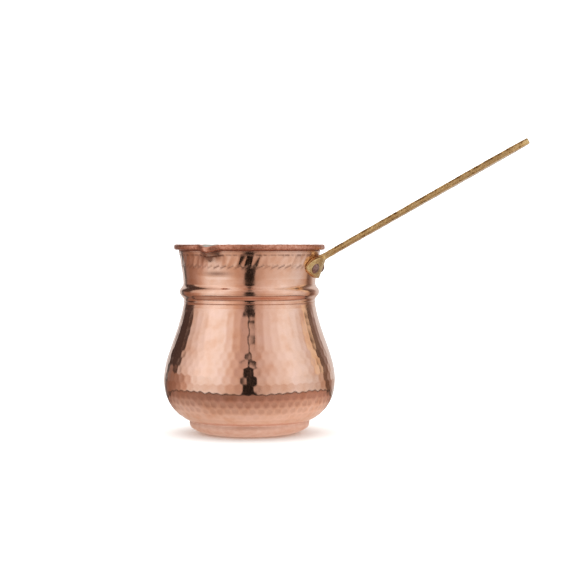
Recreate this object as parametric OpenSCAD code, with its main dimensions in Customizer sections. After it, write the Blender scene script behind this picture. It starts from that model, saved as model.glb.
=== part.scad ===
// Turkish coffee pot (cezve): hammered copper pot, tinned inside, with a riveted cast brass handle.
// Origin: centre of the flat bottom. +Z is up, +X runs out along the handle.

/* [Pot] */
// Thickness of the copper sheet
wall = 1.0; // [0.9:0.05:1.2]
// Radius of the flat part that the pot stands on
base_flat_r = 18; // [14:0.5:22]
// Radius of the foot band
foot_r = 32.2; // [31.8:0.1:32.6]
// Height of the crease between the foot band and the belly
foot_h = 7.2; // [6.6:0.1:7.6]
// Largest radius of the belly
belly_r = 46.0; // [45:0.1:46.6]
// Height of the widest part of the belly
belly_z = 29; // [27.4:0.1:30]
// Radius of the waist, just under the bead
waist_r = 35.2; // [34.9:0.05:35.4]
// Height of the waist
waist_z = 70.3; // [69.6:0.1:70.5]
// Radius of the neck just above the bead
neck_r = 35.5; // [35.3:0.05:35.6]
// Radius of the mouth just under the rim
mouth_r = 38.2; // [37.9:0.05:38.3]

/* [Bead] */
// Height of the middle of the bead round the neck's foot
bead_z = 76.05; // [75.8:0.05:76.3]
// Radius of the pot at the middle of the bead
bead_r = 37.45; // [37:0.05:37.7]
// Half the height of the bead, with the hollows that run it into the wall
bead_half = 4.05; // [3.9:0.05:4.15]
// How far the thin lip under the bead stands out
lip_out = 0.25; // [0.15:0.05:0.35]

/* [Rim] */
// Height of the middle of the rolled rim
roll_z = 99.9; // [99.7:0.1:100.1]
// Radius from the pot's axis to the middle of the rolled rim
roll_path_r = 39.0; // [38.9:0.05:39.1]
// Radius of the roll itself
roll_r = 1.5; // [1.4:0.05:1.6]

/* [Spout] */
// Direction of the spout, turned from the handle
spout_turn = -108.5; // [-120:0.5:-90]
// Radius from the pot's axis to the spout's own axis
spout_axis_r = 35.2; // [35:0.1:35.4]
// Radius of the spout at the top
spout_top_r = 5.8; // [5.4:0.1:6]
// Height where the spout runs out on the neck
spout_foot_z = 84; // [83:0.5:86]
// Tilt of the rim at the spout, which lowers its lip
spout_dip = 20; // [10:1:24]

/* [Lining] */
// Thickness of the tin lining, drawn thicker than a wiped coat so that it is a sound solid
tin = 0.2; // [0.1:0.05:0.3]

/* [Handle] */
// Length of the bar from its root to its tip
bar_length = 124; // [100:1:150]
// Thickness of the bar
bar_t = 3.2; // [2.4:0.1:3.4]
// Width of the bar near its root
bar_root_w = 6.5; // [5:0.1:8]
// Width of the bar at its widest
bar_wide_w = 10; // [8:0.1:12]
// Rise of the bar above level
bar_rise = 29.3; // [20:0.1:36]
// Radius from the pot's axis to the middle of the bar's root
bar_root_r = 39.9; // [39.5:0.1:40.5]
// Height of the middle of the bar's root
bar_root_z = 94.4; // [93.6:0.1:94.8]
// Thickness of the plate at its lowest point
plate_low_t = 2.2; // [1.8:0.1:2.6]
// Thickness of the plate at its highest point
plate_high_t = 4.5; // [4:0.1:4.8]
// How far the axis of the plate's outer face stands from the pot's axis, which thins the plate's sides
plate_shift = 16.5; // [15.5:0.5:17]
// Half the width of the plate
plate_half_w = 15; // [14:0.1:15.2]
// Height of the plate's side tips
plate_tip_z = 89.2; // [88.6:0.1:89.6]
// Lowest point of the plate
plate_low_z = 83.4; // [82.5:0.1:84]
// Highest point of the plate, at the bar's root
plate_high_z = 95.2; // [94.8:0.1:95.6]

/* [Rivets] */
// Turn of each rivet from the handle
rivet_turn = 13.5; // [12:0.5:14]
// Height of the rivets
rivet_z = 88.6; // [88:0.1:89.2]
// Radius of the rivet's shank
rivet_r = 2.0; // [1.6:0.1:2.2]
// Radius of the hammered end outside
rivet_end_r = 2.9; // [2.4:0.05:3.1]
// How far the hammered end stands out of the plate
rivet_end_out = 1.4; // [0.5:0.05:1.6]
// Radius of the head inside the pot
rivet_head_r = 3.6; // [3:0.1:4.2]
// Height of the head inside the pot
rivet_head_h = 1.6; // [1.2:0.1:2.2]

/* [Hidden] */
$fn = 96;
copper = [0.80, 0.47, 0.34];
tinned = [0.70, 0.70, 0.68];
brass = [0.74, 0.60, 0.34];
steps = 12; // straight pieces in each curve of the outline
past = 3; // how far a cut runs past what it cuts
join = 0.05; // how much fatter the ball is where two rolls meet
neck_z = bead_z + bead_half;
foot_edge_h = foot_h - 1.9; // height of the foot's soft lower edge
lip_half = 0.5; // half the height of the lip under the bead
wire_r = roll_r - wall;
spout_tip_r = 0.4; // radius where the spout runs out
rivet_sunk = 1.1; // how far under the plate's face the rivet's shank stops and its end takes over
spout_slope = (spout_top_r - spout_tip_r) / (roll_z - spout_foot_z);
spout_path_r = spout_top_r + 0.6;

// Where the middle lines of the rim's roll and the spout's roll cross
meet_x = (roll_path_r ^ 2 - spout_path_r ^ 2 + spout_axis_r ^ 2) / (2 * spout_axis_r);
meet_y = sqrt(roll_path_r ^ 2 - meet_x ^ 2);
meet_turn = atan2(meet_y, meet_x);
spout_sweep = atan2(meet_y, meet_x - spout_axis_r);

// The plate's outer face is a cone round its own axis, and this is its radius at a height
plate_low_r = neck_r + plate_low_t - plate_shift;
plate_high_r = mouth_r - 0.8 + plate_high_t - plate_shift;
function plate_face(z) =
    plate_low_r + (plate_high_r - plate_low_r) * (z - plate_low_z) / (plate_high_z - plate_low_z);

// How far the plate's face leans out
plate_lean = atan2(plate_high_r - plate_low_r, plate_high_z - plate_low_z);

// Distance from the pot's axis to the neck's inside and to the plate's face, at the rivets
rivet_skin_r = neck_r + 0.9 - wall - tin;
rivet_face_r = plate_shift * cos(rivet_turn)
    + sqrt(plate_face(rivet_z) ^ 2 - (plate_shift * sin(rivet_turn)) ^ 2);

// Radius of the ball whose cap is r wide and h high
function dome_r(r, h) = (r ^ 2 + h ^ 2) / (2 * h);

// Point, direction and inward offset on a cubic curve with the four points p
function curve_at(p, t) =
    (1 - t) ^ 3 * p[0] + 3 * (1 - t) ^ 2 * t * p[1] + 3 * (1 - t) * t ^ 2 * p[2] + t ^ 3 * p[3];
function curve_way(p, t) =
    (1 - t) ^ 2 * (p[1] - p[0]) + 2 * (1 - t) * t * (p[2] - p[1]) + t ^ 2 * (p[3] - p[2]);
function inward(way, d) = d * [-way[1], way[0]] / norm(way);
function curve(p, d) =
    [for (i = [0:steps]) curve_at(p, i / steps) + inward(curve_way(p, i / steps), d)];

// The thin lip under the bead is half an ellipse
function lip() = [for (i = [0:steps]) let (a = 180 * i / steps - 90)
    [waist_r + lip_out * max(cos(a), 0), waist_z + lip_half * (1 + sin(a))]];

// The foot's soft lower edge is a quarter of an ellipse
function foot_edge(d) =
    [for (i = [0:steps]) let (a = 90 * i / steps)
        [base_flat_r + (foot_r - base_flat_r - d) * sin(a), d + (foot_edge_h - d) * (1 - cos(a))]];

lower_belly = [[foot_r + 0.1, foot_h], [34.8, 8.1], [belly_r, 13.3], [belly_r, belly_z]];
upper_belly = [[belly_r, belly_z], [belly_r, 41.9], [38.2, 52.7], [waist_r, waist_z]];
bead_under = [[waist_r, waist_z + 2 * lip_half], [waist_r, bead_z - 2.5], [bead_r, bead_z - 2.5], [bead_r, bead_z]];
bead_over = [[bead_r, bead_z], [bead_r, bead_z + 2.2], [neck_r + 0.4, bead_z + 2.2], [neck_r, neck_z]];
neck = [[neck_r, neck_z], [neck_r, neck_z + 4.3], [neck_r + 0.8, neck_z + 7.8], [mouth_r, roll_z - 1.5]];

// The pot's outline, moved inwards by d, from the bottom up to the mouth
function outline(d) = concat(
    [[0, d]],
    foot_edge(d),
    curve(lower_belly, d),
    curve(upper_belly, d),
    d > 0 ? [] : lip(),
    curve(bead_under, d),
    curve(bead_over, d),
    curve(neck, d)
);

// Everything inside the pot's outer surface
module envelope() {
    rotate_extrude()
        polygon(concat(outline(0), [[roll_path_r, roll_z], [0, roll_z]]));
}

// Everything inside the pot's wall, when the wall is d thick, open at the top
module cavity(d) {
    edge_r = roll_path_r - roll_r - (d - wall);
    rotate_extrude()
        polygon(concat(outline(d), [[edge_r, roll_z], [edge_r, roll_z + past], [0, roll_z + past]]));
    spout_at() {
        slant = d * norm([1, spout_slope]);
        tip_z = spout_foot_z + (slant - spout_tip_r) / spout_slope;
        height = roll_z + past - tip_z;
        translate([spout_axis_r, 0, tip_z])
            cylinder(h = height, r1 = 0, r2 = height * spout_slope);
    }
}

module spout_at() {
    rotate([0, 0, spout_turn])
        children();
}

// The spout's outer cone, from the neck up to under the roll
module spout_cone() {
    height = roll_z - 0.9 - spout_foot_z;
    spout_at()
        translate([spout_axis_r, 0, spout_foot_z])
            cylinder(h = height, r1 = spout_tip_r, r2 = spout_tip_r + height * spout_slope);
}

// A round bar that follows the rim and swings out round the spout
module rim_path(r) {
    spout_at() {
        translate([0, 0, roll_z])
            rotate([0, 0, meet_turn])
                rotate_extrude(angle = 360 - 2 * meet_turn)
                    translate([roll_path_r, 0])
                        circle(r);
        translate([meet_x, 0, roll_z])
            rotate([0, spout_dip, 0])
                translate([spout_axis_r - meet_x, 0, 0])
                    rotate([0, 0, -spout_sweep])
                        rotate_extrude(angle = 2 * spout_sweep)
                            translate([spout_path_r, 0])
                                circle(r);
        for (side = [-1, 1])
            translate([meet_x, side * meet_y, roll_z])
                sphere(r + join);
    }
}

// Moves a shape drawn along +Z to a rivet's place, pointing out of the pot
module rivet_at(side) {
    rotate([0, 0, side * rivet_turn])
        translate([0, 0, rivet_z])
            rotate([0, 90, 0])
                children();
}

module rivet_holes() {
    for (side = [-1, 1])
        rivet_at(side)
            cylinder(h = belly_r, r = rivet_r);
}

// Copper sheet: foot, belly, beads, neck, spout and the rolled rim
module pot_body() {
    color(copper)
        difference() {
            union() {
                envelope();
                spout_cone();
                rim_path(roll_r);
            }
            cavity(wall);
            rim_path(wire_r);
            rivet_holes();
        }
}

// Tin wiped over the whole of the inside
module tin_lining() {
    color(tinned)
        difference() {
            intersection() {
                cavity(wall);
                cylinder(h = roll_z - 1, r = belly_r);
            }
            cavity(wall + tin);
            rivet_holes();
        }
}

// Wire that the rim is rolled round
module rim_wire() {
    color(copper)
        rim_path(wire_r);
}

// Space in front of the neck that the plate's outer face bounds
module plate_block() {
    low = plate_low_z - 1;
    high = plate_high_z + 1;
    translate([plate_shift, 0, low])
        cylinder(h = high - low, r1 = plate_face(low), r2 = plate_face(high));
}

// Half of the plate's leaf outline, seen along the handle, from its lowest point to its highest
function plate_side() = concat(
    curve([[0, plate_low_z], [plate_half_w - 10, plate_low_z + 0.4], [plate_half_w - 0.5, plate_tip_z - 3.2],
        [plate_half_w, plate_tip_z]], 0),
    curve([[plate_half_w, plate_tip_z], [plate_half_w, plate_tip_z + 4],
        [plate_half_w - 5, plate_high_z - 0.3], [0, plate_high_z]], 0)
);

module plate_outline() {
    half = plate_side();
    polygon(concat(half, [for (i = [len(half) - 2:-1:1]) [-half[i][0], half[i][1]]]));
}

// Half of the bar's outline in plan, from its flared root to its round tip
function bar_side() = concat(
    curve([[-4, bar_root_w], [0, bar_root_w * 0.75], [2, bar_root_w / 2], [8, bar_root_w / 2]], 0),
    curve([[bar_length * 0.78, bar_wide_w / 2], [bar_length * 0.9, bar_wide_w / 2],
        [bar_length, bar_wide_w * 0.36], [bar_length, 0]], 0)
);

module bar() {
    half = bar_side();
    other = [for (i = [len(half) - 2:-1:0]) [half[i][0], -half[i][1]]];
    translate([bar_root_r, 0, bar_root_z])
        rotate([0, -bar_rise, 0])
            translate([0, 0, -bar_t / 2])
                linear_extrude(bar_t)
                    polygon(concat(half, other));
}

// One brass casting: the plate that hugs the neck and the long bar
module handle() {
    color(brass)
        difference() {
            union() {
                intersection() {
                    plate_block();
                    rotate([90, 0, 90])
                        linear_extrude(belly_r)
                            plate_outline();
                }
                bar();
            }
            envelope();
            rivet_holes();
        }
}

// Moves a shape drawn along +Z to a rivet's outer end, square to the plate's face
module rivet_end_at(side) {
    turn = side * rivet_turn;
    across = rivet_face_r * sin(turn);
    out = rivet_face_r * cos(turn);
    translate([out, across, rivet_z])
        rotate([0, 90 + plate_lean, atan2(across, out - plate_shift)])
            children();
}

// Copper rivet: shank, hammered end outside and round head inside
module rivet(side) {
    intersection() {
        union() {
            rivet_at(side)
                translate([0, 0, rivet_skin_r - rivet_head_h])
                    rotate_extrude()
                        rivet_half();
            rivet_end_at(side)
                rivet_end();
        }
        union() {
            rivet_at(side)
                cylinder(h = belly_r + past, r = rivet_r);
            cavity(wall + tin);
            difference() {
                cylinder(h = roll_z, r = belly_r + past);
                envelope();
                plate_block();
            }
        }
    }
}

// Half of the section of the rivet's head and shank, with the head's crown at the bottom
module rivet_half() {
    length = rivet_face_r - rivet_sunk - rivet_skin_r + rivet_head_h;
    head_ball = dome_r(rivet_head_r, rivet_head_h);
    intersection() {
        translate([0, head_ball])
            circle(head_ball);
        union() {
            square([rivet_r, length]);
            square([rivet_head_r, rivet_head_h + wall]);
        }
    }
}

// The rivet's hammered end, down into the hole as far as the shank reaches up
module rivet_end() {
    end_ball = dome_r(rivet_end_r, rivet_end_out);
    intersection() {
        translate([0, 0, rivet_end_out - end_ball])
            sphere(end_ball);
        translate([0, 0, -2 * rivet_sunk])
            cylinder(h = past + rivet_end_out, r = rivet_end_r);
    }
}

module rivet_near() {
    color(copper)
        rivet(-1);
}

module rivet_far() {
    color(copper)
        rivet(1);
}

pot_body();
tin_lining();
rim_wire();
handle();
rivet_near();
rivet_far();
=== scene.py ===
import math

import bpy
import numpy as np
from mathutils import Matrix, Vector


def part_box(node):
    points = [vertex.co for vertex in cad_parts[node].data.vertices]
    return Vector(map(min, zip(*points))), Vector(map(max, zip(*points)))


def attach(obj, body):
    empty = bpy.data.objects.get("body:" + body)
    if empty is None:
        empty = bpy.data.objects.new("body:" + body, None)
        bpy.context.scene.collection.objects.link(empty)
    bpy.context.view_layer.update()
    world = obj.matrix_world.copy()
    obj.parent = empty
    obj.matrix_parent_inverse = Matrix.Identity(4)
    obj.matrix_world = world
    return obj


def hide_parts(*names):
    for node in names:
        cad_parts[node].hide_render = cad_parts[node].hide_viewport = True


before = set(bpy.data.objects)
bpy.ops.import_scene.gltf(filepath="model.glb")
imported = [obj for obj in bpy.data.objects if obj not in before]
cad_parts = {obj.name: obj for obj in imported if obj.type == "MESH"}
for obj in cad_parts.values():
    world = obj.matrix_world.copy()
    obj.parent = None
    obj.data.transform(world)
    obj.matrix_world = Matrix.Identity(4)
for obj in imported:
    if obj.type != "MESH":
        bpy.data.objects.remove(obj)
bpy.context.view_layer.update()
mm = 0.001
print("frame loaded")


def hexColour(code):
    # sRGB hex to the linear colour that shaders work in
    parts = [int(code[i:i + 2], 16) / 255 for i in (1, 3, 5)]
    return [c / 12.92 if c <= 0.04045 else ((c + 0.055) / 1.055) ** 2.4 for c in parts] + [1.0]


def addNode(tree, kind, settings=None, links=None):
    # settings are the node's own choices, its sockets' values or a colour ramp's stops; links feed sockets
    # a colour is an sRGB hex, and a stop may be a plain grey level instead
    node = tree.nodes.new(kind)
    for key, value in (settings or {}).items():
        if key == "stops":
            marks = node.color_ramp.elements
            while len(marks) < len(value):
                marks.new(0.5)
            for mark, (place, colour) in zip(marks, value):
                mark.position = place
                mark.color = hexColour(colour) if isinstance(colour, str) else [colour] * 3 + [1.0]
        elif isinstance(key, str) and hasattr(node, key):
            setattr(node, key, value)
        else:
            node.inputs[key].default_value = hexColour(value) if isinstance(value, str) else value
    for key, source in (links or {}).items():
        tree.links.new(source, node.inputs[key])
    return node


def newMaterial(name):
    material = bpy.data.materials.new(name)
    material.use_nodes = True
    tree = material.node_tree
    tree.nodes.clear()
    output = addNode(tree, "ShaderNodeOutputMaterial")
    place = addNode(tree, "ShaderNodeTexCoord").outputs["Object"]
    return material, tree, output, place


def smoothStep(low, high, value):
    t = np.clip((value - low) / (high - low), 0, 1)
    return t * t * (3 - 2 * t)


def selectOnly(piece):
    if bpy.context.object and bpy.context.object.mode != "OBJECT":
        bpy.ops.object.mode_set(mode="OBJECT")
    bpy.ops.object.select_all(action="DESELECT")
    piece.select_set(True)
    bpy.context.view_layer.objects.active = piece


def applyModifier(piece, kind, **settings):
    selectOnly(piece)
    modifier = piece.modifiers.new(kind.lower(), kind)
    for key, value in settings.items():
        setattr(modifier, key, value)
    bpy.ops.object.modifier_apply(modifier=modifier.name)


def clouds(name, size):
    texture = bpy.data.textures.new(name, "CLOUDS")
    texture.noise_scale = size * mm
    texture.noise_depth = 3
    return texture


def getPoints(piece):
    points = np.empty(len(piece.data.vertices) * 3)
    piece.data.vertices.foreach_get("co", points)
    return points.reshape(-1, 3) / mm


def setPoints(piece, points):
    piece.data.vertices.foreach_set("co", (points * mm).ravel())
    piece.data.update()


def turnedPiece(name, outline, sides):
    # spins an outline of (radius, height) points in mm round Z, as on a lathe
    bpy.ops.object.select_all(action="DESELECT")
    bpy.ops.mesh.primitive_circle_add(vertices=3, radius=mm)
    piece = bpy.context.object
    piece.name = piece.data.name = name
    bpy.ops.object.mode_set(mode="EDIT")
    bpy.ops.mesh.merge(type="CENTER")
    here = (0.0, 0.0)
    for number, (r, z) in enumerate(outline):
        step = ((r - here[0]) * mm, 0, (z - here[1]) * mm)
        if number:
            bpy.ops.mesh.extrude_vertices_move(TRANSFORM_OT_translate={"value": step})
        else:
            bpy.ops.transform.translate(value=step)
        here = (r, z)
    bpy.ops.mesh.select_all(action="SELECT")
    bpy.ops.mesh.spin(steps=sides, angle=2 * math.pi, center=(0, 0, 0), axis=(0, 0, 1))
    bpy.ops.mesh.select_all(action="SELECT")
    bpy.ops.mesh.remove_doubles(threshold=0.01 * mm)
    bpy.ops.mesh.normals_make_consistent(inside=False)
    bpy.ops.object.mode_set(mode="OBJECT")
    bpy.ops.object.shade_smooth()
    return piece


def curvePoints(points, count):
    # a cubic curve through four control points, without its first point
    p = [np.array(q, float) for q in points]
    out = []
    for i in range(1, count + 1):
        t = i / count
        out.append(tuple((1 - t) ** 3 * p[0] + 3 * (1 - t) ** 2 * t * p[1]
                         + 3 * (1 - t) * t ** 2 * p[2] + t ** 3 * p[3]))
    return out


# the pot's own sizes in mm; the widest one comes from the frame
pot = {
    "bellyRadius": -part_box("pot_body")[0][0] / mm,
    "bellyHeight": 29.0,
    "footPull": (34.8, 8.1),     # the pulls are the handles of the wall's curves, as radius and height
    "bellyPullDown": 13.3,
    "bellyPullUp": 41.9,
    "waistPull": (38.2, 52.7),
    "footFlat": 18.0,
    "footRadius": 32.2,
    "footHeight": 7.2,
    "footEdge": 5.3,             # height of the foot's soft lower edge
    "waistRadius": 35.2,
    "waistHeight": 70.3,
    "lipHeight": 1.0,
    "lipOut": 0.25,
    "beadRadius": 37.45,
    "beadHeight": 76.05,
    "beadPullDown": 2.5,
    "beadPullUp": 2.2,
    "coveOut": 0.4,              # softness of the hollow between bead and neck
    "neckRadius": 35.5,
    "neckHeight": 80.1,
    "neckPull": 4.3,
    "mouthPull": (0.8, 7.8),
    "mouthRadius": 38.2,
    "groove": 0.7,               # depth of the groove where the roll meets the neck
    "rollHeight": 99.9,
    "rollPath": 39.0,
    "rollRadius": 1.5,
    "rollFlatness": 0.7,         # 1 is round, less is flattened by the hammer
    "wall": 1.0,
    "tin": 0.2,
    "sides": 420,
    "liningSides": 300,
    "rings": {"lowerBelly": 36, "upperBelly": 67, "bead": 11, "cove": 9, "neck": 37, "roll": 15},
}


def outerOutline():
    # from the middle of the bottom to just under the rolled rim
    belly, bead, neck = pot["bellyRadius"], pot["beadRadius"], pot["neckRadius"]
    waist, beadAt, rings = pot["waistRadius"], pot["beadHeight"], pot["rings"]
    points = [(0.0, 0.0), (3.0, 0.0), (9.0, 0.0), (pot["footFlat"], 0.0)]
    for i in range(1, 10):
        a = math.pi / 2 * i / 9
        points.append((pot["footFlat"] + (pot["footRadius"] - pot["footFlat"]) * math.sin(a),
                       pot["footEdge"] * (1 - math.cos(a))))
    start = (pot["footRadius"] + 0.1, pot["footHeight"])
    points += [(start[0] - 0.02, start[1] - 0.5), start]
    middle = (belly, pot["bellyHeight"])
    waistPoint = (waist, pot["waistHeight"])
    points += curvePoints([start, pot["footPull"], (belly, pot["bellyPullDown"]), middle],
                          rings["lowerBelly"])
    points += curvePoints([middle, (belly, pot["bellyPullUp"]), pot["waistPull"], waistPoint],
                          rings["upperBelly"])
    for i in range(1, 6):
        a = math.pi * (i / 6 - 0.5)
        points.append((waist + pot["lipOut"] * math.cos(a),
                       pot["waistHeight"] + pot["lipHeight"] / 2 * (1 + math.sin(a))))
    lipTop = (waist, pot["waistHeight"] + pot["lipHeight"])
    points.append(lipTop)
    under, over = beadAt - pot["beadPullDown"], beadAt + pot["beadPullUp"]
    points += curvePoints([lipTop, (waist, under), (bead, under), (bead, beadAt)], rings["bead"])
    neckFoot = (neck, pot["neckHeight"])
    points += curvePoints([(bead, beadAt), (bead, over), (neck + pot["coveOut"], over), neckFoot],
                          rings["cove"])
    mouth, mouthPull = pot["mouthRadius"], pot["mouthPull"]
    points += curvePoints([neckFoot, (neck, neckFoot[1] + pot["neckPull"]),
                           (neck + mouthPull[0], neckFoot[1] + mouthPull[1]),
                           (mouth - 0.1, pot["rollHeight"] - 1.75)], rings["neck"])
    grooveRadius = mouth - pot["groove"]
    points += [(grooveRadius, pot["rollHeight"] - 1.5), (grooveRadius, pot["rollHeight"] - 1.3)]
    return points


def rollPoints(first, last):
    # the rim's section, a little flattened by the hammer, from the first to the last angle in degrees
    points = []
    flatness, count = pot["rollFlatness"], pot["rings"]["roll"]
    for i in range(count + 1):
        a = math.radians(first + (last - first) * i / count)
        c, s = math.cos(a), math.sin(a)
        points.append((pot["rollPath"] + pot["rollRadius"] * math.copysign(abs(c) ** flatness, c),
                       pot["rollHeight"] + pot["rollRadius"] * math.copysign(abs(s) ** flatness, s)))
    return points


def innerOutline(distance, gap):
    # the outline without the foot's upright edge, moved inwards and thinned to one point every gap mm
    path = np.array([p for p in outerOutline()
                     if not (p[0] > pot["footRadius"] - 0.1 and p[1] < pot["footHeight"])])
    way = np.gradient(path, axis=0)
    length = np.hypot(way[:, 0], way[:, 1])
    moved = path + np.stack([-way[:, 1], way[:, 0]], axis=1) / length[:, None] * distance
    moved[:, 0] = np.maximum(moved[:, 0], 0)
    moved[0] = (0, distance)
    kept = [tuple(moved[0])]
    for r, z in moved[1:]:
        if z > kept[-1][1] - 0.02 and math.hypot(r - kept[-1][0], z - kept[-1][1]) > gap:
            kept.append((r, z))
    return kept


spout = {
    "turn": math.radians(-109.5),
    "halfAngle": math.radians(10.5),
    "push": 2.6,           # how far the lip stands out, in mm
    "foot": 84.0,          # the height where the pinch starts
    "lip": 98.5,           # and where it has its full push
    "easeTop": 103.0,      # a higher value makes the push straighter
    "spread": 0.75,        # how much wider the pinch is below spreadTo, as a share
    "spreadTo": 90.0,
    "dip": 1.3,            # how far the lip drops
    "dipFrom": 91.0,
    "dipTo": 98.4,
    "dent": 0.16,          # depth of the shallow dent across the neck below the spout
    "dentHeight": 85.0,
    "dentTall": 1.5,
    "dentAngle": math.radians(15),
}


def spoutShape(points):
    # pinches the rim outwards and down; below the rim the pinch widens and fades down the neck
    turn = np.arctan2(points[:, 1], points[:, 0]) - spout["turn"]
    turn = np.abs((turn + math.pi) % (2 * math.pi) - math.pi)
    high = points[:, 2]
    foot, lip, easeTop = spout["foot"], spout["lip"], spout["easeTop"]
    wide = 1 + spout["spread"] - spout["spread"] * smoothStep(spout["spreadTo"], lip, high)
    share = 0.5 * (1 + np.cos(math.pi * np.clip(turn / spout["halfAngle"] / wide, 0, 1)))
    push = spout["push"] * smoothStep(foot, easeTop, high) / smoothStep(foot, easeTop, lip) * share
    dentUp = (high - spout["dentHeight"]) / spout["dentTall"]
    push -= spout["dent"] * np.exp(-dentUp ** 2 - (turn / spout["dentAngle"]) ** 2)
    radius = np.hypot(points[:, 0], points[:, 1])
    grow = 1 + push / np.maximum(radius, 1)
    moved = points * np.stack([grow, grow, np.ones(len(points))], axis=1)
    moved[:, 2] -= spout["dip"] * smoothStep(spout["dipFrom"], spout["dipTo"], high) * share
    return moved


hammer = {
    "bowl": 30.0,          # radius of the hammer's round face, in mm
    "smallBowl": 14.0,     # of the smaller hammer used under the belly
    "smallBelow": 23.5,
    "smallDeeper": 0.6,    # the small marks' extra depth, as a share
    "perRow": 62,
    "wallFrom": 5.0,       # places along the wall are measured from this height
    "bottom": 8.4,
    "top": 66.6,
    "rowGap": 4.35,
    "columnsFrom": 45.0,   # above this height the marks run together into upright flutes
    "fluteLength": 1.6,
    "scatter": 0.07,       # how far marks stray, as a share of their spacing
    "soft": 0.006,         # rounding of the ridges between marks, in mm
    "depth": 0.115,        # of a mark's middle, in mm
    "smallDepth": 0.15,
    "neckDepth": 0.22,
    "neckPerRow": 60,
    "neckRows": [92.7, 87.6],
    "neckAcross": [16.0, 18.0],
    "neckAlong": [34.0, 24.0],
    "neckScatter": 0.12,
    "neckLean": 0.35,
    "neckTop": 95.8,
    "neckStep": 89.7,      # the upper row ends in a sawtooth step at this height
    "toothHeight": 1.6,
    "neckBottom": 86.2,
    "lowerRowDepth": 0.3,  # of the row under the step, as a share
}


def markRows(places, perRow, seed, scatter, staggerTo, across, along):
    # every mark's turn, height along the wall and extra depth, row by row, and the row's bowl radii
    rng = np.random.default_rng(seed)
    step = 2 * math.pi / perRow
    rows = []
    for number, place in enumerate(places):
        stagger = 0.5 * (number % 2) if number < staggerTo else 0.0
        base = (np.arange(perRow) + stagger + rng.uniform(-0.06, 0.06)) * step
        rows.append({
            "first": base[0],
            "turns": base + rng.normal(0, scatter, perRow) * step,
            "along": place + rng.normal(0, scatter * 0.8, perRow) * abs(places[1] - places[0]),
            "depth": rng.normal(0, 0.008, perRow),
            "across": across[number],
            "bowl": along[number],
        })
    return rows


def markDepth(turn, along, radius, rows, reach, lean=0.0):
    # the deepest mark wins at each point, with a softened ridge between neighbours; reach is in mm
    total = np.zeros(len(turn))
    for row in rows:
        perRow = len(row["turns"])
        step = 2 * math.pi / perRow
        near = np.nonzero(np.abs(along - row["along"].mean()) < reach)[0]
        column = np.floor((turn[near] - row["first"]) / step).astype(int)
        for extra in (-1, 0, 1, 2):
            pick = (column + extra) % perRow
            gap = (turn[near] - row["turns"][pick] + math.pi) % (2 * math.pi) - math.pi
            down = along[near] - row["along"][pick]
            across = gap * radius[near] - lean * down
            bowl = across ** 2 / (2 * row["across"]) + down ** 2 / (2 * row["bowl"])
            total[near] += np.exp((row["depth"][pick] - bowl) / hammer["soft"])
    return hammer["soft"] * np.log(np.maximum(total, 1e-60))


# painted shade along the neck marks' sawtooth step, top edges and ridges, in the crease under the rim and
# round the spout; lowDark darkens the deeper parts of the small low marks
shadeAndDarkening = {
    "stepDark": 0.35,      # along the sawtooth step, with up to stepExtra more on some teeth
    "stepExtra": 0.5,
    "stepThick": 0.42,     # in mm
    "topDark": 0.45,       # along the upper row's top edge
    "topThick": 0.36,
    "ridgeDark": 0.3,      # on the ridges between the upper marks
    "rimDark": 0.6,
    "rimHeight": 97.8,
    "rimThick": 0.6,
    "spoutDark": 0.6,      # in patches: the height, its spread, the turn from the spout and its spread
    "spoutPatches": [(86.2, 1.2, 0.07, 0.2), (95.5, 3.0, 0.0, 0.16)],
    "lowDark": 0.2,        # in the small marks, from lowFrom up to lowTo, fading in and out
    "lowFrom": (9.0, 19.0),
    "lowTo": (26.0, 21.0),
}


def wallShadeAndDarkening(turn, high, body, neck, tooth):
    # painted shade lies along the neck marks' step, top edges and ridges, in the crease under the rim and
    # round the spout; the small low marks are darkened in their deeper parts
    perRow = hammer["neckPerRow"]
    phase = np.mod(turn * perRow / (2 * math.pi), 1)
    mark = np.floor(turn * perRow / (2 * math.pi)).astype(int)
    uneven = np.random.default_rng(21).uniform(0, 1, perRow)[mark % perRow]
    upper = smoothStep(hammer["neckStep"], hammer["neckStep"] + 1, high) * (high < hammer["neckTop"])
    fromSpout = (turn - spout["turn"] + math.pi) % (2 * math.pi) - math.pi
    # painted shade along the sawtooth step and along the upper row's top edge
    stepLine = np.exp(-((high - tooth) / shadeAndDarkening["stepThick"]) ** 2)
    dirt = (shadeAndDarkening["stepDark"] + shadeAndDarkening["stepExtra"] * uneven) * stepLine
    topLine = np.exp(-((high - hammer["neckTop"]) / shadeAndDarkening["topThick"]) ** 2)
    dirt += shadeAndDarkening["topDark"] * (phase < 0.3 + 0.5 * uneven) * topLine    # along a part of each mark
    # painted shade on the ridges between the upper marks
    dirt += shadeAndDarkening["ridgeDark"] * upper * (1 - smoothStep(0.0, 0.09, neck))
    # painted shade in the crease under the rim
    dirt += shadeAndDarkening["rimDark"] * np.exp(-((high - shadeAndDarkening["rimHeight"]) / shadeAndDarkening["rimThick"]) ** 2)
    # painted shade round the spout's lip and its lower swirl
    for height, tall, aside, wide in shadeAndDarkening["spoutPatches"]:
        patch = ((high - height) / tall) ** 2 + ((fromSpout - aside) / wide) ** 2
        dirt += shadeAndDarkening["spoutDark"] * np.exp(-patch)
    # darker in the deeper parts of the small low marks
    low = smoothStep(*shadeAndDarkening["lowTo"], high) * smoothStep(*shadeAndDarkening["lowFrom"], high)
    dirt += shadeAndDarkening["lowDark"] * low * smoothStep(0.06, 0.11, body)
    return np.clip(dirt, 0, 1)


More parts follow.
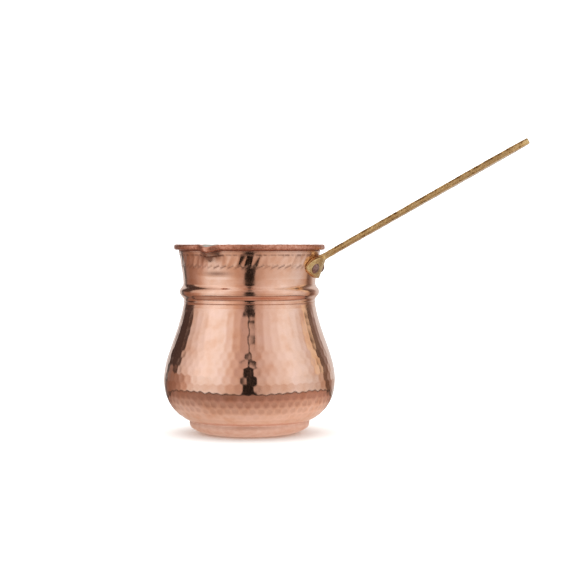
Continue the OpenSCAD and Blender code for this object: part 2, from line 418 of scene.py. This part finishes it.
def hammerWall(piece, outline, strength):
    # sculpts the hammer marks into the wall, as no operator can place them in rows
    points = getPoints(piece)
    high = points[:, 2]
    radius = np.hypot(points[:, 0], points[:, 1])
    turn = np.arctan2(points[:, 1], points[:, 0])
    path = np.array([p for p in outline if p[1] > hammer["wallFrom"]])
    length = np.concatenate([[0], np.cumsum(np.hypot(*np.diff(path, axis=0).T))])
    along = np.interp(high, path[:, 1], length)
    levels = [hammer["bottom"], hammer["smallBelow"], hammer["columnsFrom"], hammer["top"]]
    first, small, columns, last = np.interp(levels, path[:, 1], length)
    count = round((last - first) / hammer["rowGap"])
    places = first + (last - first) * (np.arange(count) + 0.5) / count
    across = np.where(places < small, hammer["smallBowl"], hammer["bowl"])
    bowls = np.where(places < columns, across, hammer["fluteLength"] * hammer["bowl"])
    rows = markRows(places, hammer["perRow"], 4, hammer["scatter"], int(np.sum(places < columns)),
                    across, bowls)
    depth = np.where(along < small, hammer["smallDepth"], hammer["depth"])
    body = np.clip(markDepth(turn, along, radius, rows, 9.0) + depth, -0.02, 0.4)
    # the marks fade in over the foot and out under the lip
    body *= smoothStep(first - 0.4, first + 1.4, along) * (1 - smoothStep(last - 1.0, last + 0.5, along))
    deeper = 1.0 + hammer["smallDeeper"] * smoothStep(small, small - 6, along)
    body *= np.where(along < small, deeper, 1.0)
    neckRows = markRows(hammer["neckRows"], hammer["neckPerRow"], 9, hammer["neckScatter"], 2,
                        hammer["neckAcross"], hammer["neckAlong"])
    neckRows[1]["depth"] -= 0.1
    neck = markDepth(turn, high, radius, neckRows, 7.0, lean=hammer["neckLean"])
    neck = np.clip(neck + hammer["neckDepth"], -0.03, 0.5)
    neck *= smoothStep(hammer["neckBottom"] - 0.9, hammer["neckBottom"] + 1.6, high)
    neck *= 1 - smoothStep(hammer["neckTop"] - 0.2, hammer["neckTop"] + 0.2, high)
    phase = np.mod(turn * hammer["neckPerRow"] / (2 * math.pi), 1)
    tooth = hammer["neckStep"] - hammer["toothHeight"] / 2 + hammer["toothHeight"] * phase
    dirt = wallShadeAndDarkening(turn, high, body, neck, tooth)
    shallow = hammer["lowerRowDepth"]
    neck *= shallow + (1 - shallow) * smoothStep(tooth - 0.2, tooth + 0.2, high)
    # each point sinks straight into the wall, along the outline's normal
    way = np.gradient(path, axis=0)
    normalOut = np.interp(high, path[:, 1], way[:, 1])
    normalUp = np.interp(high, path[:, 1], -way[:, 0])
    size = np.hypot(normalOut, normalUp)
    onWall = np.abs(radius - np.interp(high, path[:, 1], path[:, 0])) < 0.35
    # the painted shade and the low marks' darkening are stored for the copper's colour
    piece.data.attributes.new("dirt", "FLOAT", "POINT").data.foreach_set("value", dirt * onWall)
    sink = (body + neck) * onWall * strength
    flat = sink * normalOut / size / np.maximum(radius, 1)
    moved = points.copy()
    moved[:, 0] -= points[:, 0] * flat
    moved[:, 1] -= points[:, 1] * flat
    moved[:, 2] -= sink * normalUp / size
    setPoints(piece, moved)


def hammeredCopper():
    # polished copper sheet: a warm mirror, a little dulled by handling, with fine pits; a brown colour
    # paints shade along the neck marks, under the rim and round the spout, and darkens the small low marks
    material, tree, output, place = newMaterial("hammeredCopper")
    tone = addNode(tree, "ShaderNodeTexNoise", {"Scale": 1 / (7 * mm), "Detail": 5.0}, {"Vector": place})
    colour = addNode(tree, "ShaderNodeValToRGB",
                     {"stops": [(0.3, "#F0C0A6"), (0.5, "#F8CFBA"), (0.7, "#FAD3C2")]},
                     {"Fac": tone.outputs["Fac"]})
    grain = addNode(tree, "ShaderNodeTexNoise", {"Scale": 1 / (0.5 * mm), "Detail": 3.0}, {"Vector": place})
    rough = addNode(tree, "ShaderNodeValToRGB", {"stops": [(0.3, 0.09), (0.7, 0.15)]},
                    {"Fac": grain.outputs["Fac"]})
    # the stored mask mixes in #6E4130 as painted shade along the neck marks, under the rim and round the
    # spout, and as darkening in the small low marks
    dirt = addNode(tree, "ShaderNodeAttribute", {"attribute_name": "dirt"})
    darkened = addNode(tree, "ShaderNodeMixRGB", {"Color2": "#6E4130"},
                    {"Fac": dirt.outputs["Fac"], "Color1": colour.outputs["Color"]})
    dull = addNode(tree, "ShaderNodeMath", {"operation": "MULTIPLY_ADD", 1: 0.35},
                   {0: dirt.outputs["Fac"], 2: rough.outputs["Color"]})
    pits = addNode(tree, "ShaderNodeTexVoronoi", {"Scale": 1 / (2.1 * mm), "Randomness": 1.0},
                   {"Vector": place})
    pitShape = addNode(tree, "ShaderNodeValToRGB", {"stops": [(0.06, 0.0), (0.16, 1.0)]},
                       {"Fac": pits.outputs["Distance"]})
    bumpPits = addNode(tree, "ShaderNodeBump", {"Strength": 0.35, "Distance": 0.03 * mm},
                       {"Height": pitShape.outputs["Color"]})
    bump = addNode(tree, "ShaderNodeBump", {"Strength": 0.3, "Distance": 0.012 * mm},
                   {"Height": grain.outputs["Fac"], "Normal": bumpPits.outputs["Normal"]})
    shader = addNode(tree, "ShaderNodeBsdfPrincipled", {"Metallic": 1.0},
                     {"Base Color": darkened.outputs["Color"], "Roughness": dull.outputs["Value"],
                      "Normal": bump.outputs["Normal"]})
    tree.links.new(shader.outputs["BSDF"], output.inputs["Surface"])
    return material


def turnedCopper():
    # copper smoothed on the lathe: fine rings round the pot, a little softer in its shine
    material, tree, output, place = newMaterial("turnedCopper")
    tone = addNode(tree, "ShaderNodeTexNoise", {"Scale": 1 / (6 * mm), "Detail": 4.0}, {"Vector": place})
    colour = addNode(tree, "ShaderNodeValToRGB", {"stops": [(0.3, "#EDB99D"), (0.7, "#F9D0BC")]},
                     {"Fac": tone.outputs["Fac"]})
    squash = addNode(tree, "ShaderNodeMapping", {"Scale": (0.02, 0.02, 1.0)}, {"Vector": place})
    rings = addNode(tree, "ShaderNodeTexNoise", {"Scale": 1 / (0.6 * mm), "Detail": 3.0},
                    {"Vector": squash.outputs["Vector"]})
    rough = addNode(tree, "ShaderNodeValToRGB", {"stops": [(0.3, 0.11), (0.7, 0.2)]},
                    {"Fac": rings.outputs["Fac"]})
    bump = addNode(tree, "ShaderNodeBump", {"Strength": 0.6, "Distance": 0.04 * mm},
                   {"Height": rings.outputs["Fac"]})
    shader = addNode(tree, "ShaderNodeBsdfPrincipled", {"Metallic": 1.0},
                     {"Base Color": colour.outputs["Color"], "Roughness": rough.outputs["Color"],
                      "Normal": bump.outputs["Normal"]})
    tree.links.new(shader.outputs["BSDF"], output.inputs["Surface"])
    return material


def rimCopper():
    # the rolled rim, left as it came off the hammer: matt, speckled and darker
    material, tree, output, place = newMaterial("rolledRimCopper")
    tone = addNode(tree, "ShaderNodeTexNoise", {"Scale": 1 / (1.3 * mm), "Detail": 6.0, "Roughness": 0.65},
                   {"Vector": place})
    colour = addNode(tree, "ShaderNodeValToRGB",
                     {"stops": [(0.32, "#B0725C"), (0.5, "#D89B84"), (0.68, "#EDBBA6")]},
                     {"Fac": tone.outputs["Fac"]})
    rough = addNode(tree, "ShaderNodeValToRGB", {"stops": [(0.3, 0.48), (0.7, 0.32)]},
                    {"Fac": tone.outputs["Fac"]})
    bump = addNode(tree, "ShaderNodeBump", {"Strength": 0.8, "Distance": 0.1 * mm},
                   {"Height": tone.outputs["Fac"]})
    shader = addNode(tree, "ShaderNodeBsdfPrincipled", {"Metallic": 1.0},
                     {"Base Color": colour.outputs["Color"], "Roughness": rough.outputs["Color"],
                      "Normal": bump.outputs["Normal"]})
    tree.links.new(shader.outputs["BSDF"], output.inputs["Surface"])
    return material


def footCopper():
    # the foot, brushed matt by standing and scouring: an even warm copper with small dark pits
    material, tree, output, place = newMaterial("scouredFootCopper")
    tone = addNode(tree, "ShaderNodeTexNoise", {"Scale": 1 / (3 * mm), "Detail": 6.0}, {"Vector": place})
    colour = addNode(tree, "ShaderNodeValToRGB", {"stops": [(0.3, "#EDC4B2"), (0.7, "#F9D8CA")]},
                     {"Fac": tone.outputs["Fac"]})
    pits = addNode(tree, "ShaderNodeTexVoronoi", {"Scale": 1 / (1.3 * mm), "Randomness": 1.0},
                   {"Vector": place})
    pitShape = addNode(tree, "ShaderNodeValToRGB", {"stops": [(0.05, 0.0), (0.2, 1.0)]},
                       {"Fac": pits.outputs["Distance"]})
    rough = addNode(tree, "ShaderNodeValToRGB", {"stops": [(0.3, 0.42), (0.7, 0.3)]},
                    {"Fac": tone.outputs["Fac"]})
    bump = addNode(tree, "ShaderNodeBump", {"Strength": 0.6, "Distance": 0.06 * mm},
                   {"Height": pitShape.outputs["Color"]})
    shader = addNode(tree, "ShaderNodeBsdfPrincipled", {"Metallic": 1.0},
                     {"Base Color": colour.outputs["Color"], "Roughness": rough.outputs["Color"],
                      "Normal": bump.outputs["Normal"]})
    tree.links.new(shader.outputs["BSDF"], output.inputs["Surface"])
    return material


def wipedTin():
    # tin melted on and wiped with a cloth: satin grey with broad soft streaks and small beads
    material, tree, output, place = newMaterial("wipedTin")
    squash = addNode(tree, "ShaderNodeMapping", {"Scale": (1.0, 1.0, 0.35)}, {"Vector": place})
    streak = addNode(tree, "ShaderNodeTexNoise", {"Scale": 1 / (7 * mm), "Detail": 6.0, "Distortion": 0.6},
                     {"Vector": squash.outputs["Vector"]})
    colour = addNode(tree, "ShaderNodeValToRGB", {"stops": [(0.3, "#B9B7B1"), (0.7, "#DAD8D2")]},
                     {"Fac": streak.outputs["Fac"]})
    rough = addNode(tree, "ShaderNodeValToRGB", {"stops": [(0.3, 0.42), (0.7, 0.27)]},
                    {"Fac": streak.outputs["Fac"]})
    beading = addNode(tree, "ShaderNodeTexNoise", {"Scale": 1 / (1.1 * mm), "Detail": 3.0},
                      {"Vector": place})
    bump = addNode(tree, "ShaderNodeBump", {"Strength": 0.5, "Distance": 0.05 * mm},
                   {"Height": beading.outputs["Fac"]})
    shader = addNode(tree, "ShaderNodeBsdfPrincipled", {"Metallic": 1.0},
                     {"Base Color": colour.outputs["Color"], "Roughness": rough.outputs["Color"],
                      "Normal": bump.outputs["Normal"]})
    tree.links.new(shader.outputs["BSDF"], output.inputs["Surface"])
    return material


def castBrass():
    # sand-cast brass, filed by hand: grainy gold with dark specks in its hollows and a dark upper edge
    material, tree, output, place = newMaterial("castBrass")
    sand = addNode(tree, "ShaderNodeTexNoise", {"Scale": 1 / (0.9 * mm), "Detail": 6.0, "Roughness": 0.62},
                   {"Vector": place})
    blotch = addNode(tree, "ShaderNodeTexNoise", {"Scale": 1 / (5 * mm), "Detail": 4.0}, {"Vector": place})
    worn = addNode(tree, "ShaderNodeMix", {"data_type": "FLOAT", 0: 0.4},
                   {2: sand.outputs["Fac"], 3: blotch.outputs["Fac"]})
    edge = addNode(tree, "ShaderNodeAttribute", {"attribute_name": "edge"})
    dirt = addNode(tree, "ShaderNodeMath", {"operation": "MULTIPLY_ADD", 1: -0.13},
                   {0: edge.outputs["Fac"], 2: worn.outputs[0]})
    colour = addNode(tree, "ShaderNodeValToRGB",
                     {"stops": [(0.32, "#7A5630"), (0.42, "#E0BF84"), (0.6, "#F2DAA6")]},
                     {"Fac": dirt.outputs["Value"]})
    rough = addNode(tree, "ShaderNodeValToRGB", {"stops": [(0.3, 0.5), (0.7, 0.34)]},
                    {"Fac": sand.outputs["Fac"]})
    bump = addNode(tree, "ShaderNodeBump", {"Strength": 0.6, "Distance": 0.1 * mm},
                   {"Height": sand.outputs["Fac"]})
    shader = addNode(tree, "ShaderNodeBsdfPrincipled", {"Metallic": 1.0},
                     {"Base Color": colour.outputs["Color"], "Roughness": rough.outputs["Color"],
                      "Normal": bump.outputs["Normal"]})
    tree.links.new(shader.outputs["BSDF"], output.inputs["Surface"])
    return material


def groundBrass():
    # the bar's underside, ground flat and polished: pale brass with fine scratches along the bar
    material, tree, output, place = newMaterial("groundBrass")
    squash = addNode(tree, "ShaderNodeMapping",
                     {"Rotation": (0, math.radians(casting["barRise"]), 0), "Scale": (0.06, 1.0, 1.0)},
                     {"Vector": place})
    scratch = addNode(tree, "ShaderNodeTexNoise", {"Scale": 1 / (0.5 * mm), "Detail": 4.0},
                      {"Vector": squash.outputs["Vector"]})
    colour = addNode(tree, "ShaderNodeValToRGB", {"stops": [(0.33, "#D9B58A"), (0.5, "#F0D6B4")]},
                     {"Fac": scratch.outputs["Fac"]})
    rough = addNode(tree, "ShaderNodeValToRGB", {"stops": [(0.3, 0.3), (0.7, 0.16)]},
                    {"Fac": scratch.outputs["Fac"]})
    bump = addNode(tree, "ShaderNodeBump", {"Strength": 0.4, "Distance": 0.03 * mm},
                   {"Height": scratch.outputs["Fac"]})
    shader = addNode(tree, "ShaderNodeBsdfPrincipled", {"Metallic": 1.0},
                     {"Base Color": colour.outputs["Color"], "Roughness": rough.outputs["Color"],
                      "Normal": bump.outputs["Normal"]})
    tree.links.new(shader.outputs["BSDF"], output.inputs["Surface"])
    return material


def rivetCopper():
    # hammered rivet ends: copper gone dull and purplish brown
    material, tree, output, place = newMaterial("hammeredRivetCopper")
    tone = addNode(tree, "ShaderNodeTexNoise", {"Scale": 1 / (1.2 * mm), "Detail": 5.0}, {"Vector": place})
    colour = addNode(tree, "ShaderNodeValToRGB", {"stops": [(0.3, "#8E6C66"), (0.7, "#AF918B")]},
                     {"Fac": tone.outputs["Fac"]})
    rough = addNode(tree, "ShaderNodeValToRGB", {"stops": [(0.3, 0.5), (0.7, 0.38)]},
                    {"Fac": tone.outputs["Fac"]})
    bump = addNode(tree, "ShaderNodeBump", {"Strength": 0.5, "Distance": 0.06 * mm},
                   {"Height": tone.outputs["Fac"]})
    shader = addNode(tree, "ShaderNodeBsdfPrincipled", {"Metallic": 1.0},
                     {"Base Color": colour.outputs["Color"], "Roughness": rough.outputs["Color"],
                      "Normal": bump.outputs["Normal"]})
    tree.links.new(shader.outputs["BSDF"], output.inputs["Surface"])
    return material


def makePot(tin):
    outer = outerOutline()
    inner = [p for p in innerOutline(pot["wall"], 4.0) if p[1] < pot["rollHeight"] - 2.0]
    piece = turnedPiece("copperPot", outer + rollPoints(-130, 180) + inner[::-1], pot["sides"])
    hammerWall(piece, outer, 1.0)
    points = getPoints(piece)
    rimFoot = pot["rollHeight"] - pot["rollRadius"] + 0.2
    rim = piece.vertex_groups.new(name="rim")
    rim.add([int(i) for i in np.nonzero(points[:, 2] > rimFoot)[0]], 1.0, "REPLACE")
    applyModifier(piece, "DISPLACE", texture=clouds("rimDents", 2.2), strength=0.35 * mm, mid_level=0.5,
                  texture_coords="LOCAL", vertex_group="rim")
    hammered, turned, rolled, foot, tinned = range(5)
    for finish in (hammeredCopper(), turnedCopper(), rimCopper(), footCopper(), tin):
        piece.data.materials.append(finish)
    radius = np.hypot(points[:, 0], points[:, 1])
    for face in piece.data.polygons:
        corners = list(face.vertices)
        z = points[corners, 2].mean()
        r = radius[corners].mean()
        if z > rimFoot - 0.4:
            face.material_index = tinned if r < pot["rollPath"] - 0.9 else rolled
        elif z < pot["footHeight"] + 1.0:
            face.material_index = foot
        elif z < hammer["top"] + 1 or z > hammer["neckBottom"] - 3:
            face.material_index = hammered
        else:
            face.material_index = turned
    setPoints(piece, spoutShape(getPoints(piece)))
    print("pot made:", len(piece.data.polygons), "faces")
    return piece


def makeLining(tin):
    # a closed skin of tin on the copper's inner face, up to the roll
    top = pot["rollHeight"] - 1.0
    copperInside = [p for p in innerOutline(pot["wall"], 0.9) if p[1] < top - 0.3]
    tinInside = [p for p in innerOutline(pot["wall"] + pot["tin"], 0.9) if p[1] < top - 0.3]
    copperInside.append((pot["rollPath"] - pot["rollRadius"] - 0.3, top))
    piece = turnedPiece("tinLining", tinInside + copperInside[::-1], pot["liningSides"])
    hammerWall(piece, tinInside, 0.5)
    setPoints(piece, spoutShape(getPoints(piece)))
    piece.data.materials.append(tin)
    print("lining made:", len(piece.data.polygons), "faces")
    return piece


casting = {
    "handleVoxel": 0.26,   # in mm
    "handleLumps": 0.35,   # depth of the slow waves left by the sand mould
    "handleGrain": 0.14,
    "rivetVoxel": 0.12,
    "rivetLumps": 0.3,
    "rivetGrain": 0.05,
    "barRise": 29.3,       # in degrees
    "barThick": 3.2,
    "barLength": 118.0,    # up to where it widens into the plate, over twice barFade
    "barFade": 2.0,
    "edgeFrom": 0.95,      # the dirty upper edge lies this far over the bar's middle
    "edgeTo": 1.4,
    "speckLine": 0.5,      # a pitted line runs along the bar's sides, this far under the middle
    "speckThick": 0.35,
    "speckDark": 0.7,
    "speckDepth": 0.15,
    "groundFrom": 0.75,    # the lower edges are ground off from here, in mm under the bar's middle
    "groundSlope": 0.8,
}


def castPiece(node, name, voxel, lumps, grain, material):
    # a copy of the CAD solid, rounded over and roughened as cast or hammered metal
    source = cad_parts[node]
    piece = source.copy()
    piece.data = source.data.copy()
    piece.name = piece.data.name = name
    piece.parent = None
    piece.matrix_world = Matrix.Identity(4)
    for key in list(piece.keys()):
        del piece[key]
    bpy.context.scene.collection.objects.link(piece)
    piece.data.materials.clear()
    selectOnly(piece)
    bpy.ops.object.mode_set(mode="EDIT")
    bpy.ops.mesh.select_all(action="SELECT")
    bpy.ops.mesh.remove_doubles(threshold=0.01 * mm)
    bpy.ops.object.mode_set(mode="OBJECT")
    applyModifier(piece, "REMESH", mode="VOXEL", voxel_size=voxel * mm)
    applyModifier(piece, "SMOOTH", factor=0.5, iterations=4)
    applyModifier(piece, "DISPLACE", texture=clouds(name + "Lumps", 4.0), strength=lumps * mm, mid_level=0.5,
                  texture_coords="LOCAL")
    applyModifier(piece, "DISPLACE", texture=clouds(name + "Grain", 1.0), strength=grain * mm, mid_level=0.5,
                  texture_coords="LOCAL")
    bpy.ops.object.shade_smooth()
    piece.data.materials.append(material)
    print(name, "made:", len(piece.data.polygons), "faces")
    return piece


def finishBar(piece):
    # marks the bar's dirty upper edge and specks, grinds its lower edges and gives them their own brass
    points = getPoints(piece)
    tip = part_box("handle")[1]
    tipOut, tipUp = tip[0] / mm, tip[2] / mm - casting["barThick"] / 2
    rise = math.radians(casting["barRise"])
    length, fade = casting["barLength"], casting["barFade"]
    # how far each point lies along the bar and over its middle
    out = (points[:, 0] - tipOut) * math.cos(rise) + (points[:, 2] - tipUp) * math.sin(rise)
    up = (points[:, 2] - tipUp) * math.cos(rise) - (points[:, 0] - tipOut) * math.sin(rise)
    onBar = smoothStep(-length - fade, -length + fade, out)
    normals = np.empty(len(points) * 3)
    piece.data.vertices.foreach_get("normal", normals)
    flat = np.abs(normals.reshape(-1, 3) @ np.array([-math.sin(rise), 0, math.cos(rise)]))
    specks = np.exp(-((up + casting["speckLine"]) / casting["speckThick"]) ** 2)
    darkened = casting["speckDark"] * specks + smoothStep(casting["edgeFrom"], casting["edgeTo"], up)
    share = onBar * darkened * (1 - smoothStep(0.8, 0.97, flat))    # none on the bar's broad faces
    ground = np.clip(-casting["groundFrom"] - up, 0, 1) * casting["groundSlope"]
    points[:, 1] -= np.sign(points[:, 1]) * onBar * (specks * casting["speckDepth"] + ground)
    setPoints(piece, points)
    piece.data.attributes.new("edge", "FLOAT", "POINT").data.foreach_set("value", share)
    faceNormals = np.empty(len(piece.data.polygons) * 3)
    piece.data.polygons.foreach_get("normal", faceNormals)
    down = faceNormals.reshape(-1, 3) @ np.array([math.sin(rise), 0, -math.cos(rise)])
    firstCorner = np.array([face.vertices[0] for face in piece.data.polygons])
    low = up[firstCorner] < -casting["groundFrom"]
    under = ((down > 0.8) | low) & (out[firstCorner] > -length)
    piece.data.materials.append(groundBrass())
    piece.data.polygons.foreach_set("material_index", under.astype(np.int32))


view = {
    "azimuth": math.radians(12.5),
    "distance": 806,       # from the pot's axis, in mm
    "height": 101.1,
    "lens": 93.7,
    "aimAcross": 20.7,     # the camera aims this far to the right of the axis
    "aimHeight": 77.9,
}


def makeCamera():
    away = Vector((math.sin(view["azimuth"]), -math.cos(view["azimuth"]), 0))
    across = Vector((math.cos(view["azimuth"]), math.sin(view["azimuth"]), 0))
    place = away * view["distance"] * mm + Vector((0, 0, view["height"] * mm))
    target = across * view["aimAcross"] * mm + Vector((0, 0, view["aimHeight"] * mm))
    bpy.ops.object.select_all(action="DESELECT")
    bpy.ops.object.camera_add(location=place, rotation=(target - place).to_track_quat("-Z", "Y").to_euler())
    camera = bpy.context.object
    camera.data.lens = view["lens"]
    camera.data.sensor_width = 36
    camera.data.clip_start = 0.01
    bpy.context.scene.camera = camera


def makeFloor():
    # a pale floor that the polished copper doesn't mirror
    bpy.ops.object.select_all(action="DESELECT")
    bpy.ops.mesh.primitive_plane_add(size=12)
    floor = bpy.context.object
    floor.name = "floor"
    material, tree, output, _ = newMaterial("paleFloor")
    shader = addNode(tree, "ShaderNodeBsdfDiffuse", {"Color": "#F2F1EF"})
    tree.links.new(shader.outputs["BSDF"], output.inputs["Surface"])
    floor.data.materials.append(material)
    floor.visible_glossy = False


# what polished metal mirrors in a product studio: "upper" and "lower" hold the walls' colours by their
# degrees from the camera, the other lists go by share of the table's edge, of floorTo or of the height
tent = {
    "radius": 1000.0,      # in mm
    "height": 1300.0,
    "sides": 96,
    "lowerTo": 100.0,      # the lower colours end at this height, and the upper ones begin at upperFrom
    "upperFrom": 150.0,
    "upper": [(-180, 0.85), (-150, 0.75), (-146, "#453734"), (-113, "#50423D"), (-110, "#CBBCB3"),
              (-99, "#DDD0CA"), (-66, 1.05), (-44, 0.99), (-25, "#DFC8B8"), (-13, "#C5AA9E"),
              (13, "#CBB5AA"), (26, "#E2D4CE"), (60, 0.97), (84, 0.84), (98, "#D4C5BC"),
              (102, "#EDDFC8"), (111, "#E2D0B5"), (116, "#55453C"), (124, "#7C6C61"), (134, "#958681"),
              (142, 0.72), (180, 0.85)],
    "lower": [(-180, 0.85), (-150, 0.7), (-146, 0.12), (-139, 0.1), (-135, "#957C73"), (-118, "#957361"),
              (-104, "#AA8B7C"), (-88, "#D7C0B3"), (-74, 0.93), (-44, 0.94), (-25, "#DFCBBC"),
              (-13, "#CBB3A6"), (13, "#CBB8AD"), (26, "#E2D4CB"), (60, 0.92), (90, 0.76),
              (112, "#C5AD99"), (118, "#6F594B"), (127, "#867369"), (134, "#B3A299"), (142, 0.72),
              (180, 0.85)],
    "tableAcross": 131.0,  # half the small table that the pot stands on: an oval with a dark edge
    "tableDeep": 95.0,
    "tableEnd": 1.1,       # past this share of the oval the walls' colours begin
    "tableLight": (0.9, 1.25),    # its left and right sides' brightness
    "table": [(0.28, "#D4BCAD"), (0.38, "#DFCEC4"), (0.5, "#CBB5A8"), (0.64, "#B69B8E"),
              (0.8, "#A68679"), (0.99, "#907365"), (1.0, 0.02)],
    "floorFrom": 100.0,    # the floor past the table dims what it mirrors, in a broad ring
    "floorTo": 900.0,
    "floor": [(0.0, 0.9), (0.12, "#F1EBE7"), (0.2, "#ECE1DA"), (0.34, "#ECE2DB"), (0.5, 0.97)],
    # half the width of the camera's stand, in radians
    "stand": [(0.0, 0.15), (0.19, 0.14), (0.23, 0.1), (0.25, 0.1), (0.27, 0.16), (0.34, 0.15),
              (0.38, 0.12), (0.44, 0.06), (0.47, 0.05), (0.62, 0.05), (0.8, 0.1)],
    "standLight": 0.03,
}


def makeTent():
    # a dome that only reflections see: softboxes, dark flags, the small table, and the camera on its stand
    radius, height = tent["radius"], tent["height"]
    floorLevel = 0.05
    outline = [(r, floorLevel) for r in (0, 60, 130, 400, radius)]
    outline += [(radius, 300), (radius, 650), (radius, 1000), (radius * 0.7, height), (0, height)]
    piece = turnedPiece("lightTent", outline, tent["sides"])
    material, tree, output, place = newMaterial("studioReflections")
    turned = addNode(tree, "ShaderNodeMapping", {"Rotation": (0, 0, -view["azimuth"])}, {"Vector": place})
    parts = addNode(tree, "ShaderNodeSeparateXYZ", links={"Vector": turned.outputs["Vector"]})
    back = addNode(tree, "ShaderNodeMath", {"operation": "MULTIPLY", 1: -1.0}, {0: parts.outputs["Y"]})
    angle = addNode(tree, "ShaderNodeMath", {"operation": "ARCTAN2"},
                    {0: parts.outputs["X"], 1: back.outputs["Value"]})
    share = addNode(tree, "ShaderNodeMapRange", {"From Min": -math.pi, "From Max": math.pi},
                    {"Value": angle.outputs["Value"]})
    rings = {}
    for part in ("upper", "lower"):
        stops = [(0.5 + degrees / 360, value) for degrees, value in tent[part]]
        rings[part] = addNode(tree, "ShaderNodeValToRGB", {"stops": stops}, {"Fac": share.outputs["Result"]})
    high = addNode(tree, "ShaderNodeMapRange",
                   {"From Min": tent["lowerTo"] * mm, "From Max": tent["upperFrom"] * mm},
                   {"Value": parts.outputs["Z"]})
    walls = addNode(tree, "ShaderNodeMixRGB", links={"Fac": high.outputs["Result"],
                                                     "Color1": rings["lower"].outputs["Color"],
                                                     "Color2": rings["upper"].outputs["Color"]})
    flat = addNode(tree, "ShaderNodeCombineXYZ", links={"X": parts.outputs["X"], "Y": parts.outputs["Y"]})
    away = addNode(tree, "ShaderNodeVectorMath", {"operation": "LENGTH"}, {0: flat.outputs["Vector"]})
    inverse = (1 / (tent["tableAcross"] * mm), 1 / (tent["tableDeep"] * mm), 0)
    oval = addNode(tree, "ShaderNodeMapping", {"Scale": inverse}, {"Vector": turned.outputs["Vector"]})
    across = addNode(tree, "ShaderNodeVectorMath", {"operation": "LENGTH"}, {0: oval.outputs["Vector"]})
    table = addNode(tree, "ShaderNodeValToRGB", {"stops": tent["table"]}, {"Fac": across.outputs["Value"]})
    left, right = tent["tableLight"]
    tableSide = addNode(tree, "ShaderNodeMapRange",
                        {"From Min": -60 * mm, "From Max": 60 * mm, "To Min": left, "To Max": right},
                        {"Value": parts.outputs["X"]})
    sideLit = addNode(tree, "ShaderNodeMixRGB", {"blend_type": "MULTIPLY", "Fac": 1.0},
                      {"Color1": table.outputs["Color"], "Color2": tableSide.outputs["Result"]})
    floorShare = addNode(tree, "ShaderNodeMapRange",
                         {"From Min": tent["floorFrom"] * mm, "From Max": tent["floorTo"] * mm},
                         {"Value": away.outputs["Value"]})
    floorTone = addNode(tree, "ShaderNodeValToRGB", {"stops": tent["floor"]},
                        {"Fac": floorShare.outputs["Result"]})
    beyond = addNode(tree, "ShaderNodeMixRGB", {"blend_type": "MULTIPLY", "Fac": 1.0},
                     {"Color1": walls.outputs["Color"], "Color2": floorTone.outputs["Color"]})
    # the camera's stand in front of the pot
    rise = addNode(tree, "ShaderNodeMapRange", {"From Min": 0.0, "From Max": height * mm},
                   {"Value": parts.outputs["Z"]})
    width = addNode(tree, "ShaderNodeValToRGB", {"stops": tent["stand"]}, {"Fac": rise.outputs["Result"]})
    side = addNode(tree, "ShaderNodeMath", {"operation": "ABSOLUTE"}, {0: angle.outputs["Value"]})
    past = addNode(tree, "ShaderNodeMath", {"operation": "SUBTRACT"},
                   {0: side.outputs["Value"], 1: width.outputs["Color"]})
    clear = addNode(tree, "ShaderNodeMapRange",
                    {"From Min": -0.01, "From Max": 0.01, "To Min": tent["standLight"]},
                    {"Value": past.outputs["Value"]})
    stood = addNode(tree, "ShaderNodeMixRGB", {"blend_type": "MULTIPLY", "Fac": 1.0},
                    {"Color1": beyond.outputs["Color"], "Color2": clear.outputs["Result"]})
    offTable = addNode(tree, "ShaderNodeMath", {"operation": "GREATER_THAN", 1: tent["tableEnd"]},
                       {0: across.outputs["Value"]})
    mix = addNode(tree, "ShaderNodeMixRGB", links={"Fac": offTable.outputs["Value"],
                                                   "Color1": sideLit.outputs["Color"],
                                                   "Color2": stood.outputs["Color"]})
    glow = addNode(tree, "ShaderNodeEmission", {"Strength": 1.0}, {"Color": mix.outputs["Color"]})
    tree.links.new(glow.outputs["Emission"], output.inputs["Surface"])
    piece.data.materials.append(material)
    piece.visible_camera = False
    piece.visible_diffuse = False
    piece.visible_shadow = False


def makeWorld():
    # even white light all round, which also makes the white background
    world = bpy.data.worlds.new("studio")
    bpy.context.scene.world = world
    world.use_nodes = True
    world.node_tree.nodes["Background"].inputs["Color"].default_value = (1, 1, 1, 1)
    world.node_tree.nodes["Background"].inputs["Strength"].default_value = 1.8


bpy.context.scene.view_settings.view_transform = "Standard"
makeCamera()
makeFloor()
makeTent()
makeWorld()
print("studio ready")

handle = castPiece("handle", "brassHandle", casting["handleVoxel"], casting["handleLumps"],
                   casting["handleGrain"], castBrass())
finishBar(handle)
dullCopper = rivetCopper()
rivets = [castPiece(node, name, casting["rivetVoxel"], casting["rivetLumps"],
                    casting["rivetGrain"], dullCopper)
          for node, name in (("rivet_near", "nearRivet"), ("rivet_far", "farRivet"))]
tin = wipedTin()
copperPot = makePot(tin)
lining = makeLining(tin)
for piece, node, slot in ((copperPot, "pot_body", "copper"), (lining, "tin_lining", "tin"),
                          (handle, "handle", "brass"), (rivets[0], "rivet_near", "rivet_copper"),
                          (rivets[1], "rivet_far", "rivet_copper")):
    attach(piece, "root")
    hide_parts(node)
# the hidden wire in the rim stays the CAD's own, in the pot's turned copper
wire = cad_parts["rim_wire"]
wire.data.materials.clear()
wire.data.materials.append(copperPot.data.materials[1])
print("pieces placed")
